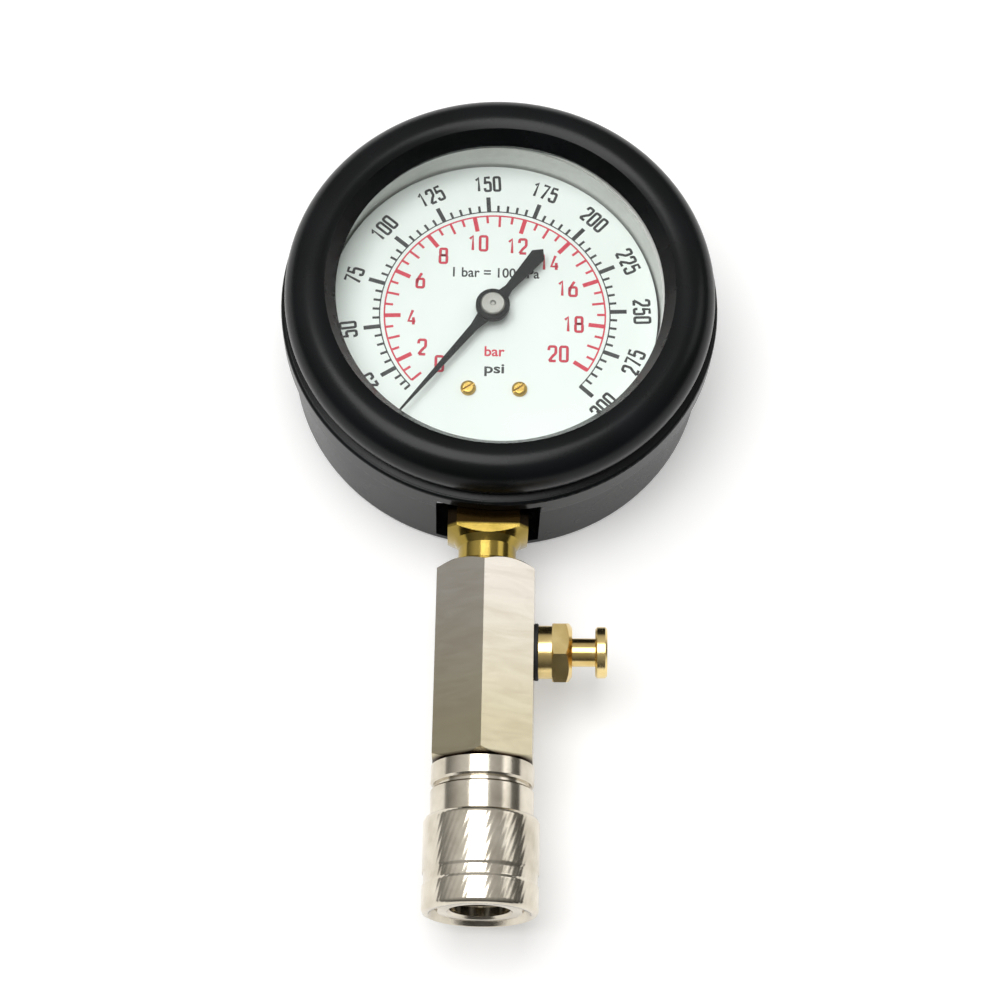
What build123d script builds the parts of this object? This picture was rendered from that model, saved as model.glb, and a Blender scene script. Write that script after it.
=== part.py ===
"""Compression tester: a booted pressure gauge on a hexagonal adapter with a quick coupler.

The tester lies on its back. Z = 0 is the back of the rubber boot and +Z comes out of the dial.
+Y runs from the coupler to the top of the dial, and the release valve stands on the +X side.
X = Y = 0 is the axis of the pointer. All lengths are in millimetres.
"""

from math import acos, cos, degrees, hypot, radians, sin, sqrt
import os

from build123d import *

os.makedirs("parts", exist_ok=True)

# Main levels and axes
dial_z = 22.5
stem_z = 17.8
cut_past = 1.0
edge_break = 0.4

# Rubber boot
boot_shift = 1.4
boot_wall_r = 43.7
boot_back_hole_r = 27.0
boot_back_thick = 2.5
boot_back_round = 1.2
ridge_r = 45.3
ridge_back_z = 21.4
ridge_front_z = 27.9
ridge_round = 0.8
ring_tube_r = 5.6
ring_centre_r = 38.7
ring_z = 32.3
groove_z = 28.4
ring_slope = 30.0
lip_edge = (33.8, 33.5)
lip_foot_r = 34.6
slot_width = 21.4
slot_top_z = 24.9
slot_inner_y = 26.0
screw_notch_y = 35.0

# Case, bezel, window and dial
case_r = 36.2
case_wall = 1.0
case_round = 2.0
case_rim_z = 28.7
case_panel_r = 24.0
case_panel_rise = 0.6
case_back_z = boot_back_thick
seat_gap = 0.05
bezel_r = 37.4
bezel_wall = 1.1
bezel_back_z = 24.8
bezel_hole_r = 35.0
bezel_lip = 0.6
window_z = 29.5
window_thick = 1.8
dial_r = 34.6
dial_thick = 0.8
dial_hole_r = 2.0

# Dial screws
dial_screw_x = 5.3
dial_screw_shift = 0.6
dial_screw_y = -17.7
dial_screw_head_r = 1.6
dial_screw_head_h = 1.1
dial_screw_round = 0.7
dial_screw_r = 0.9
dial_screw_depth = 3.0
screw_slot = 0.45
screw_slot_depth = 0.5
screw_slot_turn = 35
hole_gap = 0.1
spacer_r = 1.8

# Socket
block_wide = 16.3
block_thick = 13.8
block_bevel = 1.8
block_top_z = 20.0
block_bottom_z = 9.5
block_outer_y = 33.6
neck_inner_y = 34.7
block_inner_y = 22.0
tongue_end_y = 13.0
tongue_top_z = 13.5
tongue_wide = 15.0
foot_y = (26.5, 33.0)
cone_corner_y = 47.9
cone_corner_r = 10.7
cone_flat_y = 49.9
neck_y = 51.3
spigot_r = 5.9
thread_r = 4.9
thread_len = 11.0
thread_bevel = 0.6
way_r = 1.6
way_inner_y = 27.2

# Case screws
case_screw_x = 4.5
case_screw_y = -30.0
case_screw_hole_r = 1.6
case_screw_r = 1.2
case_screw_len = 5.5
tapping_room = 0.5
case_screw_head_r = 2.4
case_screw_head_h = 1.5
case_screw_round = 0.9
cross_long = 3.0
cross_wide = 0.6
cross_deep = 0.7

# Hexagonal adapter
hex_flats = 19.6
hex_top_y = 55.9
hex_end_y = 97.2
adapter_turn = 3.0
hex_chamfer = 1.4
hex_face_r = 9.5
adapter_bore_r = 3.2
top_thread_depth = 12.0
bottom_thread_r = 6.0
bottom_thread_depth = 11.0
valve_y = -73.1
valve_thread_r = 4.0

# Release valve, lengths measured along X from the adapter's flat
gasket_r = 5.75
gasket_thick = 0.9
gasket_round = 0.3
collar_end = 3.6
valve_collar_r = 5.35
valve_hex_end = 7.6
valve_hex_flats = 11.6
valve_hex_turn = 20.7
valve_corner_r = valve_hex_flats / sqrt(3)
valve_inner_face_r = 6.0
valve_outer_face_r = 4.9
valve_cone = 1.2
valve_guide_r = 2.9
valve_shank_end = -7.0
valve_ledge = -4.0
stem_r = 2.85
stem_shoulder = 1.5
knob_start = 12.2
knob_end = 14.6
knob_r = 5.15
spindle_r = 1.0
seal_disc_r = 2.1
seal_disc_thick = 1.2
spindle_way_r = 1.35
valve_spring_r = 2.0
valve_spring_wire = 0.5
valve_spring_turns = 4

# Quick coupler, Y places measured down the stem
collar_r = 10.2
collar_y = 101.0
collar_groove_y = 101.9
collar_groove_r = 9.2
band_end_y = 111.0
barrel_r = 8.7
mouth_y = 125.8
mouth_r = 5.5
mouth_bevel = 0.5
lead_r = 5.9
lead_end_y = 123.4
mouth_floor_y = 108.5
chamber_r = 4.5
seat_start_y = 105.5
valve_seat_r = 3.0
ball_y = 121.3
ball_r = 2.0
ball_place_r = 6.8
ball_hole_r = 2.05
ball_lip_r = 1.8
ball_lip_end_r = 5.9
ball_count = 4
snap_ring_y = (123.7, 124.7)
snap_ring_r = 9.5
snap_groove_r = 8.0
snap_ring_gap = 1.6
seal_y = (112.0, 114.0)
seal_r = 6.6
seal_bore_r = 5.3
sleeve_r = 11.4
sleeve_top_y = 107.6
sleeve_end_y = 126.4
sleeve_bore_r = 10.35
land_y = (117.2, 123.6)
land_r = 8.85
sleeve_front_r = 9.8
sleeve_groove_y = (118.5, 120.8)
sleeve_groove_depth = 0.3
sleeve_round = 0.9
coupler_spring_r = 9.55
coupler_spring_wire = 0.7
coupler_spring_turns = 2.5
pin_tip_y = 119.5
pin_head_y = 101.5
pin_head_r = 3.9
pin_stem_r = 1.1
pin_spring_r = 3.6
pin_spring_wire = 0.7
pin_spring_turns = 5

# Pointer
pointer_z = 25.1
pointer_thick = 0.5
pointer_tip_r = 30.5
pointer_tail_r = 17.0
hub_r = 3.55
hub_top_z = 26.3
cap_r = 2.55
cap_top_z = 26.9
cap_bevel = 0.25
dimple_r = 0.65
dimple_deep = 0.3
blade_root = (2.6, 1.5)
needle_root = (6.2, 0.85)
needle_tip_half = 0.16
tail_neck = (5.4, 0.85)
tail_half = 1.65
tail_point = 1.7
zero_angle = 232.5
arbor_r = 0.6

# Movement
plate_bottom_z = 13.5
plate_thick = 1.2
plate_top_z = 19.6
top_plate_thick = 1.0
gear_module = 0.25
tooth_depth = 1.15 * gear_module
tooth_height = 0.8 * gear_module
pinion_tooth = (0.3, 0.13)
sector_tooth = (0.36, 0.15)
pinion_teeth = 10
sector_full_teeth = 110
sector_z = 16.6
sector_thick = 1.0
sector_rim = 2.0
sector_waist_r = 2.2
sector_hub_r = 2.4
tail_eye_r = 1.2
pinion_z = 16.1
pinion_height = 2.2
sector_seat_angle = -30.0
tail_len = 7.0
tail_rest_angle = -12.5
lug_pivot = (20.0, 3.5)
lug_z = 14.4
lug_thick = 1.0
lug_r = 1.5
cap_back = 5.0
cap_sweep = 8.0
cap_grow = 0.9
cap_seat = 0.4
pin_proud = 0.1
link_z = 15.7
link_thick = 0.6
link_eye_r = 1.3
pivot_r = 0.5
rivet_r = 0.9
rivet_thick = 0.3
running = 0.05
spring_gap = 0.3
spiral_start = 1.5
spiral_pitch = 1.3
half_turns = 7
spiral_strip = (0.14, 0.6)
post_r = 0.5
tube_r = 27.2
tube_z = 15.0
tube_wide = 8.0
tube_deep = 3.2
tube_wall = 0.45
tube_root_angle = 255.0
tube_tip_angle = 18.0
pillar_places = ((-6.5, -6.0), (-6.5, 6.5), (14.0, 4.0))
pillar_r = 1.5
plate_edge_r = 3.0
foot_len = 16.6
foot_gap = 0.45
plate_screw_r = 0.8
plate_screw_foot = 1.0
plate_screw_head_r = 1.4
plate_screw_head_h = 0.7
movement_screw_head_r = 1.6
movement_screw_head_h = 1.0
movement_screw_spot = (0, -15.6)

# Worked out from the above
stem_point = (0, 0, stem_z)
sector_reach = gear_module * (pinion_teeth + sector_full_teeth) / 2
sector_x = sector_reach * cos(radians(sector_seat_angle))
sector_y = sector_reach * sin(radians(sector_seat_angle))
tail_x = sector_x + tail_len * cos(radians(tail_rest_angle))
tail_y = sector_y + tail_len * sin(radians(tail_rest_angle))
stem_plane = Plane(origin=stem_point, x_dir=(1, 0, 0), z_dir=(0, -1, 0))
turned = (cos(radians(adapter_turn)), sin(radians(adapter_turn)))
valve_plane = Plane(origin=stem_point, x_dir=(turned[0], 0, turned[1]), z_dir=(-turned[1], 0, turned[0]))
valve_axis = Axis((0, valve_y, stem_z), (turned[0], 0, turned[1]))
flat_x = hex_flats / 2


def save(piece, label):
    """Name a finished piece and write its STEP file."""
    piece.label = label
    export_step(piece, f"parts/{label}.step")


def stem_level(distance):
    """A plane square to the stem, with its normal pointing away from the gauge."""
    return stem_plane.offset(distance)


def valve_level(distance):
    """A plane square to the release valve, measured outwards from the adapter's flat."""
    reach = flat_x + distance
    spot = (reach * turned[0], valve_y, stem_z + reach * turned[1])
    return Plane(origin=spot, x_dir=(0, 1, 0), z_dir=(turned[0], 0, turned[1]))


def polar(radius, angle):
    """A point at a radius and an angle in degrees."""
    return (radius * cos(radians(angle)), radius * sin(radians(angle)))


def gear_outline(teeth, first, count, tooth, turn):
    """Points round a run of straight-sided teeth. A tooth is its width at the root and the tip."""
    pitch_r = gear_module * teeth / 2
    root_r = pitch_r - tooth_depth
    tip_r = pitch_r + tooth_height
    root_wide, tip_wide = tooth
    points = []
    for number in range(first, first + count):
        middle = turn + number * 360 / teeth
        corners = ((root_r, -root_wide), (tip_r, -tip_wide), (tip_r, tip_wide), (root_r, root_wide))
        for radius, wide in corners:
            points.append(polar(radius, middle + degrees(wide / 2 / radius)))
    return points


# Rubber boot: a thick sleeve with a fat rounded front ring, a raised ridge behind it and an
# open back. The ring slopes in to a thin lip over the window. The boot sits a little to the
# right of the dial, as soft boots do.
boot_plane = Plane(origin=(boot_shift, 0, 0), x_dir=(1, 0, 0), z_dir=(0, -1, 0))
groove_r = ring_centre_r + sqrt(ring_tube_r**2 - (ring_z - groove_z) ** 2)
lip_z = window_z + window_thick
slope_normal = (-cos(radians(ring_slope)), sin(radians(ring_slope)))
slope_reach = (lip_edge[0] - ring_centre_r) * slope_normal[0] + (lip_edge[1] - ring_z) * slope_normal[1]
slope_top = 180 - ring_slope - degrees(acos(slope_reach / ring_tube_r))
slope_start = (
    ring_centre_r + ring_tube_r * cos(radians(slope_top)),
    ring_z + ring_tube_r * sin(radians(slope_top)),
)
with BuildPart() as rubber_boot:
    with BuildSketch(boot_plane):
        with BuildLine():
            Polyline(
                slope_start,
                lip_edge,
                (lip_foot_r, lip_z),
                (boot_back_hole_r, lip_z),
                (boot_back_hole_r, 0),
                (boot_wall_r - boot_back_round, 0),
            )
            RadiusArc(
                (boot_wall_r - boot_back_round, 0), (boot_wall_r, boot_back_round), -boot_back_round
            )
            Polyline(
                (boot_wall_r, boot_back_round),
                (boot_wall_r, ridge_back_z),
                (ridge_r - ridge_round, ridge_back_z),
            )
            RadiusArc(
                (ridge_r - ridge_round, ridge_back_z), (ridge_r, ridge_back_z + ridge_round), -ridge_round
            )
            Line((ridge_r, ridge_back_z + ridge_round), (ridge_r, ridge_front_z - ridge_round))
            RadiusArc(
                (ridge_r, ridge_front_z - ridge_round), (ridge_r - ridge_round, ridge_front_z), -ridge_round
            )
            Line((ridge_r - ridge_round, ridge_front_z), (groove_r, groove_z))
            ThreePointArc((groove_r, groove_z), (ring_centre_r + ring_tube_r, ring_z), slope_start)
        make_face()
    revolve(axis=Axis((boot_shift, 0, 0), (0, 0, 1)))
    # Pockets for the case and for the bezel, and the bezel's lip
    with BuildSketch(Plane.XY.offset(boot_back_thick)):
        Circle(case_r + seat_gap)
    extrude(amount=bezel_back_z - seat_gap - boot_back_thick, mode=Mode.SUBTRACT)
    with BuildSketch(Plane.XY.offset(bezel_back_z - seat_gap)):
        Circle(bezel_r + seat_gap)
    extrude(amount=lip_z - bezel_back_z + seat_gap, mode=Mode.SUBTRACT)
    with BuildSketch(Plane.XY.offset(lip_z)):
        Circle(bezel_r + seat_gap)
        Circle(bezel_hole_r - seat_gap, mode=Mode.SUBTRACT)
    extrude(amount=bezel_lip + seat_gap, mode=Mode.SUBTRACT)
    # Slot that clears the stem, and a notch in the back that clears the case screws
    with BuildSketch(Plane.XY.offset(boot_back_thick)):
        with Locations((0, -slot_inner_y)):
            Rectangle(slot_width, ridge_r, align=(Align.CENTER, Align.MAX))
    extrude(amount=slot_top_z - boot_back_thick, mode=Mode.SUBTRACT)
    with BuildSketch(Plane.XY):
        with Locations((0, -slot_inner_y)):
            Rectangle(slot_width, screw_notch_y - slot_inner_y, align=(Align.CENTER, Align.MAX))
    extrude(amount=boot_back_thick, mode=Mode.SUBTRACT)
save(rubber_boot.part, "rubber_boot")

# Case: a pressed steel cup with a slightly raised middle to its back
case_screw_spots = ((case_screw_x, case_screw_y), (-case_screw_x, case_screw_y))
with BuildPart() as case:
    with BuildSketch(Plane.XZ):
        with BuildLine():
            Polyline(
                (0, case_back_z + case_panel_rise),
                (case_panel_r, case_back_z + case_panel_rise),
                (case_panel_r + case_panel_rise, case_back_z),
                (case_r - case_round, case_back_z),
            )
            RadiusArc((case_r - case_round, case_back_z), (case_r, case_back_z + case_round), -case_round)
            Polyline(
                (case_r, case_back_z + case_round),
                (case_r, case_rim_z),
                (case_r - case_wall, case_rim_z),
                (case_r - case_wall, case_back_z + case_round),
            )
            RadiusArc(
                (case_r - case_wall, case_back_z + case_round),
                (case_r - case_round, case_back_z + case_wall),
                case_round - case_wall,
            )
            Polyline(
                (case_r - case_round, case_back_z + case_wall),
                (case_panel_r + case_panel_rise, case_back_z + case_wall),
                (case_panel_r, case_back_z + case_wall + case_panel_rise),
                (0, case_back_z + case_wall + case_panel_rise),
                (0, case_back_z + case_panel_rise),
            )
        make_face()
    revolve(axis=Axis.Z)
    with BuildSketch(stem_plane):
        Rectangle(block_wide + 2 * seat_gap, block_thick + 2 * seat_gap)
    extrude(amount=case_r + cut_past, mode=Mode.SUBTRACT)
    with BuildSketch(Plane.XY):
        with Locations(*case_screw_spots):
            Circle(case_screw_hole_r)
    extrude(amount=case_back_z + case_wall + cut_past, mode=Mode.SUBTRACT)
save(case.part, "case")

# Bezel ring: a thin steel hoop with an inward lip that holds the window
with BuildPart() as bezel_ring:
    with BuildSketch(Plane.XZ):
        with BuildLine():
            Polyline(
                (bezel_r - bezel_wall, bezel_back_z),
                (bezel_r, bezel_back_z),
                (bezel_r, lip_z + bezel_lip),
                (bezel_hole_r, lip_z + bezel_lip),
                (bezel_hole_r, lip_z),
                (bezel_r - bezel_wall, lip_z),
                close=True,
            )
        make_face()
    revolve(axis=Axis.Z)
save(bezel_ring.part, "bezel_ring")

# Window: a clear flat disc in the bezel
with BuildPart() as window:
    with BuildSketch(Plane.XY.offset(window_z)):
        Circle(bezel_r - bezel_wall - seat_gap)
    extrude(amount=window_thick)
save(window.part, "window")

# Window gasket: a flat rubber ring between the case's rim and the window
with BuildPart() as window_gasket:
    with BuildSketch(Plane.XY.offset(case_rim_z)):
        Circle(case_r)
        Circle(case_r - case_wall, mode=Mode.SUBTRACT)
    extrude(amount=window_z - case_rim_z)
save(window_gasket.part, "window_gasket")

# Dial plate with holes for the pointer's arbor and the two dial screws
dial_screw_spots = (
    (dial_screw_shift - dial_screw_x, dial_screw_y),
    (dial_screw_shift + dial_screw_x, dial_screw_y),
)
with BuildPart() as dial:
    with BuildSketch(Plane.XY.offset(dial_z - dial_thick)):
        Circle(dial_r)
        Circle(dial_hole_r, mode=Mode.SUBTRACT)
        with Locations(*dial_screw_spots):
            Circle(dial_screw_r + hole_gap, mode=Mode.SUBTRACT)
    extrude(amount=dial_thick)
save(dial.part, "dial")

# Dial screws: domed slotted heads, whose shanks run through the spacers into the tongue
dial_screw_foot_z = tongue_top_z - dial_screw_depth
with BuildPart() as dial_screws:
    with BuildSketch(Plane.XY.offset(dial_z)):
        with Locations(*dial_screw_spots):
            Circle(dial_screw_head_r)
    extrude(amount=dial_screw_head_h)
    head_edges = dial_screws.edges().group_by(Axis.Z)[-1]
    fillet(head_edges, radius=dial_screw_round)
    with BuildSketch(Plane.XY.offset(dial_z)):
        with Locations(*dial_screw_spots):
            Circle(dial_screw_r)
    extrude(amount=dial_screw_foot_z - dial_z)
    with BuildSketch(Plane.XY.offset(dial_z + dial_screw_head_h)):
        with Locations(*dial_screw_spots):
            Rectangle(2 * dial_screw_head_r + cut_past, screw_slot, rotation=screw_slot_turn)
    extrude(amount=-screw_slot_depth, mode=Mode.SUBTRACT)
save(dial_screws.part, "dial_screws")

# Dial spacers: two tubes that carry the dial above the movement's foot
with BuildPart() as dial_spacers:
    with BuildSketch(Plane.XY.offset(plate_bottom_z + plate_thick)):
        with Locations(*dial_screw_spots):
            Circle(spacer_r)
            Circle(dial_screw_r + hole_gap, mode=Mode.SUBTRACT)
    extrude(amount=dial_z - dial_thick - plate_bottom_z - plate_thick)
save(dial_spacers.part, "dial_spacers")

# Pressure tube: a flattened hollow tube bent into an open ring round the movement
tube_plane = Plane(
    origin=(0, 0, 0),
    x_dir=(cos(radians(tube_tip_angle)), sin(radians(tube_tip_angle)), 0),
    z_dir=(sin(radians(tube_tip_angle)), -cos(radians(tube_tip_angle)), 0),
)
tube_sweep = tube_root_angle - tube_tip_angle
with BuildPart() as tube_envelope:
    with BuildSketch(tube_plane):
        with Locations((tube_r, tube_z)):
            SlotOverall(tube_wide, tube_deep, rotation=90)
    revolve(axis=Axis.Z, revolution_arc=tube_sweep)

with BuildPart() as pressure_tube:
    with BuildSketch(tube_plane):
        with Locations((tube_r, tube_z)):
            SlotOverall(tube_wide, tube_deep, rotation=90)
            SlotOverall(tube_wide - 2 * tube_wall, tube_deep - 2 * tube_wall, rotation=90, mode=Mode.SUBTRACT)
    revolve(axis=Axis.Z, revolution_arc=tube_sweep)
save(pressure_tube.part, "pressure_tube")

# Tube tip: a cap soldered over the tube's free end, with a lug that reaches in to the link
cap_plane = Plane(
    origin=(0, 0, 0),
    x_dir=(cos(radians(tube_tip_angle - cap_back)), sin(radians(tube_tip_angle - cap_back)), 0),
    z_dir=(sin(radians(tube_tip_angle - cap_back)), -cos(radians(tube_tip_angle - cap_back)), 0),
)
cap_middle = polar(tube_r - tube_deep / 2 + cap_seat, tube_tip_angle - cap_back / 2)
with BuildPart() as tube_tip:
    with BuildSketch(cap_plane):
        with Locations((tube_r, tube_z)):
            SlotOverall(tube_wide + cap_grow, tube_deep + cap_grow, rotation=90)
    revolve(axis=Axis.Z, revolution_arc=cap_sweep)
    with BuildSketch(Plane.XY.offset(lug_z)):
        with Locations(lug_pivot, cap_middle):
            Circle(lug_r)
        make_hull()
    extrude(amount=lug_thick)
    add(tube_envelope.part, mode=Mode.SUBTRACT)
    with BuildSketch(Plane.XY.offset(lug_z)):
        with Locations(lug_pivot):
            Circle(pivot_r)
    extrude(amount=lug_thick, mode=Mode.SUBTRACT)
save(tube_tip.part, "tube_tip")

# Tip pin: stands in the lug and stops short of the link, where the linkage is opened
with BuildPart() as tip_pin:
    with BuildSketch(Plane.XY.offset(lug_z)):
        with Locations(lug_pivot):
            Circle(pivot_r)
    extrude(amount=lug_thick + pin_proud)
save(tip_pin.part, "tip_pin")

# Socket: one brass bar. Inside the case it holds the tube and carries the movement. Outside it
# is turned down to a spigot that screws into the adapter.
with BuildPart() as gauge_socket:
    with BuildSketch(Plane.XY.offset(block_bottom_z)):
        with Locations((0, -block_inner_y)):
            Rectangle(block_wide, block_outer_y - block_inner_y, align=(Align.CENTER, Align.MAX))
    extrude(amount=block_top_z - block_bottom_z)
    with BuildSketch(Plane.XY.offset(stem_z - block_thick / 2)):
        with Locations((0, -block_outer_y)):
            Rectangle(block_wide, neck_inner_y - block_outer_y, align=(Align.CENTER, Align.MAX))
    extrude(amount=block_top_z - stem_z + block_thick / 2)
    with BuildSketch(Plane.XY.offset(case_back_z + case_wall)):
        with Locations((0, -foot_y[0])):
            Rectangle(block_wide, foot_y[1] - foot_y[0], align=(Align.CENTER, Align.MAX))
    extrude(amount=block_bottom_z - case_back_z - case_wall)
    with BuildSketch(Plane.XY.offset(block_bottom_z)):
        with Locations((0, -tongue_end_y)):
            Rectangle(tongue_wide, block_inner_y - tongue_end_y, align=(Align.CENTER, Align.MAX))
    extrude(amount=tongue_top_z - block_bottom_z)
    with BuildSketch(stem_level(neck_inner_y)) as bar_section:
        Rectangle(block_wide, block_thick)
        chamfer(bar_section.vertices(), length=block_bevel)
    extrude(amount=neck_y - neck_inner_y)
    # The outer end is turned down to the spigot, which leaves a curved edge on each flat
    with BuildSketch(Plane.XY.offset(stem_z)):
        with BuildLine():
            Polyline(
                (spigot_r, -neck_y),
                (block_thick / 2, -cone_flat_y),
                (cone_corner_r, -cone_corner_y),
                (cone_corner_r, -neck_y),
                close=True,
            )
        make_face()
    revolve(axis=Axis(stem_point, (0, 1, 0)), mode=Mode.SUBTRACT)
    with BuildSketch(stem_level(neck_y)):
        Circle(spigot_r)
    extrude(amount=hex_top_y - neck_y)
    with BuildSketch(stem_level(hex_top_y)):
        Circle(thread_r)
    extrude(amount=thread_len)
    chamfer(gauge_socket.edges().group_by(Axis.Y)[0], length=thread_bevel)
    # Pressure way, the tube's slot and the screw holes
    with BuildSketch(stem_level(way_inner_y)):
        Circle(way_r)
    extrude(amount=hex_top_y + thread_len - way_inner_y, mode=Mode.SUBTRACT)
    add(tube_envelope.part, mode=Mode.SUBTRACT)
    with BuildSketch(Plane.XY.offset(tongue_top_z)):
        with Locations(*dial_screw_spots, movement_screw_spot):
            Circle(dial_screw_r)
    extrude(amount=-dial_screw_depth, mode=Mode.SUBTRACT)
    with BuildSketch(Plane.XY.offset(case_back_z)):
        with Locations(*case_screw_spots):
            Circle(case_screw_r)
    extrude(amount=case_screw_len + tapping_room, mode=Mode.SUBTRACT)
save(gauge_socket.part, "gauge_socket")

# Case screws: two round-headed screws through the case's back into the socket's foot
with BuildPart() as case_screws:
    with BuildSketch(Plane.XY.offset(case_back_z)):
        with Locations(*case_screw_spots):
            Circle(case_screw_head_r)
    extrude(amount=-case_screw_head_h)
    fillet(case_screws.edges().group_by(Axis.Z)[0], radius=case_screw_round)
    with BuildSketch(Plane.XY.offset(case_back_z - case_screw_head_h)):
        with Locations(*case_screw_spots):
            Rectangle(cross_long, cross_wide)
            Rectangle(cross_wide, cross_long)
    extrude(amount=cross_deep, mode=Mode.SUBTRACT)
    with BuildSketch(Plane.XY.offset(case_back_z)):
        with Locations(*case_screw_spots):
            Circle(case_screw_r)
    extrude(amount=case_screw_len)
save(case_screws.part, "case_screws")

# Movement plates: the lower one has a foot on the socket's tongue
sector_place = (sector_x, sector_y)
with BuildPart() as lower_plate:
    with BuildSketch(Plane.XY.offset(plate_bottom_z)):
        with Locations(*pillar_places, sector_place):
            Circle(plate_edge_r)
        make_hull()
        with Locations((0, -block_inner_y + foot_gap)):
            Rectangle(tongue_wide - 2 * foot_gap, foot_len, align=(Align.CENTER, Align.MIN))
        with Locations((0, 0), sector_place):
            Circle(arbor_r + running, mode=Mode.SUBTRACT)
        with Locations(*dial_screw_spots, movement_screw_spot):
            Circle(dial_screw_r + hole_gap, mode=Mode.SUBTRACT)
    extrude(amount=plate_thick)
save(lower_plate.part, "lower_plate")

with BuildPart() as upper_plate:
    with BuildSketch(Plane.XY.offset(plate_top_z)):
        with Locations(*pillar_places, sector_place):
            Circle(plate_edge_r)
        make_hull()
        with Locations((0, 0), sector_place):
            Circle(arbor_r + running, mode=Mode.SUBTRACT)
        with Locations(*pillar_places):
            Circle(plate_screw_r, mode=Mode.SUBTRACT)
    extrude(amount=top_plate_thick)
save(upper_plate.part, "upper_plate")

# Pillars between the plates, and the screws that hold the upper plate down on them
with BuildPart() as plate_pillars:
    with BuildSketch(Plane.XY.offset(plate_bottom_z + plate_thick)):
        with Locations(*pillar_places):
            Circle(pillar_r)
            Circle(plate_screw_r, mode=Mode.SUBTRACT)
    extrude(amount=plate_top_z - plate_bottom_z - plate_thick)
save(plate_pillars.part, "plate_pillars")

with BuildPart() as plate_screws:
    with BuildSketch(Plane.XY.offset(plate_bottom_z + plate_thick + plate_screw_foot)):
        with Locations(*pillar_places):
            Circle(plate_screw_r)
    extrude(amount=plate_top_z + top_plate_thick - plate_bottom_z - plate_thick - plate_screw_foot)
    with BuildSketch(Plane.XY.offset(plate_top_z + top_plate_thick)):
        with Locations(*pillar_places):
            Circle(plate_screw_head_r)
    extrude(amount=plate_screw_head_h)
save(plate_screws.part, "plate_screws")

with BuildPart() as movement_screw:
    with BuildSketch(Plane.XY.offset(dial_screw_foot_z)):
        with Locations(movement_screw_spot):
            Circle(dial_screw_r)
    extrude(amount=dial_screw_depth + plate_thick)
    with BuildSketch(Plane.XY.offset(tongue_top_z + plate_thick)):
        with Locations(movement_screw_spot):
            Circle(movement_screw_head_r)
    extrude(amount=movement_screw_head_h)
save(movement_screw.part, "movement_screw")

# Pinion arbor: a thin shaft cut with ten teeth, which turns in both plates and lifts the pointer
with BuildPart() as pinion_arbor:
    with BuildSketch(Plane.XY.offset(plate_bottom_z)):
        Circle(arbor_r)
    extrude(amount=hub_top_z - plate_bottom_z)
    with BuildSketch(Plane.XY.offset(pinion_z)):
        with BuildLine():
            Polyline(
                *gear_outline(pinion_teeth, 0, pinion_teeth, pinion_tooth, sector_seat_angle),
                close=True,
            )
        make_face()
    extrude(amount=pinion_height)
save(pinion_arbor.part, "pinion_arbor")

# Sector gear: a toothed arc and a tail on one plate, on its own arbor
sector_root_r = gear_module * sector_full_teeth / 2 - tooth_depth
sector_facing = 180 + sector_seat_angle
sector_first = -10
sector_count = 13
tooth_step = 360 / sector_full_teeth
arc_from = sector_facing + (sector_first - 0.5) * tooth_step
arc_to = sector_facing + (sector_first + sector_count - 0.5) * tooth_step
rim_r = sector_root_r - sector_rim
sector_plane = Plane(origin=(sector_x, sector_y, sector_z))
tail_spot = polar(tail_len, tail_rest_angle)
sector_teeth = gear_outline(
    sector_full_teeth, sector_first, sector_count, sector_tooth, sector_facing + tooth_step / 2
)
with BuildPart() as sector_gear:
    with BuildSketch(sector_plane):
        with BuildLine():
            Polyline(
                polar(sector_root_r, arc_from),
                *sector_teeth,
                polar(sector_root_r, arc_to),
                polar(rim_r, arc_to),
                polar(sector_waist_r, arc_to + 60),
                polar(sector_waist_r, arc_from - 60),
                polar(rim_r, arc_from),
                close=True,
            )
        make_face()
    extrude(amount=sector_thick)
    with BuildSketch(sector_plane):
        Circle(sector_hub_r)
        with Locations(tail_spot):
            Circle(tail_eye_r)
        make_hull()
    extrude(amount=sector_thick)
    with BuildSketch(sector_plane):
        Circle(arbor_r)
        with Locations(tail_spot):
            Circle(pivot_r)
    extrude(amount=sector_thick, mode=Mode.SUBTRACT)
save(sector_gear.part, "sector_gear")

with BuildPart() as sector_arbor:
    with BuildSketch(Plane.XY.offset(plate_bottom_z)):
        with Locations(sector_place):
            Circle(arbor_r)
    extrude(amount=plate_top_z + top_plate_thick - plate_bottom_z)
save(sector_arbor.part, "sector_arbor")

# Tail pin: holds the link under the sector's tail, with a head at each end
with BuildPart() as tail_pin:
    with BuildSketch(Plane.XY.offset(link_z - pin_proud)):
        with Locations((tail_x, tail_y)):
            Circle(pivot_r)
    extrude(amount=sector_z + sector_thick - link_z + pin_proud)
    with BuildSketch(Plane.XY.offset(link_z - pin_proud)):
        with Locations((tail_x, tail_y)):
            Circle(rivet_r)
    extrude(amount=-rivet_thick)
    with BuildSketch(Plane.XY.offset(sector_z + sector_thick)):
        with Locations((tail_x, tail_y)):
            Circle(rivet_r)
    extrude(amount=rivet_thick)
save(tail_pin.part, "tail_pin")

# Link: a thin strip with an eye at each end, from the sector's tail to the tube's tip
with BuildPart() as link:
    with BuildSketch(Plane.XY.offset(link_z)):
        with Locations((tail_x, tail_y), lug_pivot):
            Circle(link_eye_r)
        make_hull()
        with Locations((tail_x, tail_y), lug_pivot):
            Circle(pivot_r + running, mode=Mode.SUBTRACT)
    extrude(amount=link_thick)
save(link.part, "link")

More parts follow.
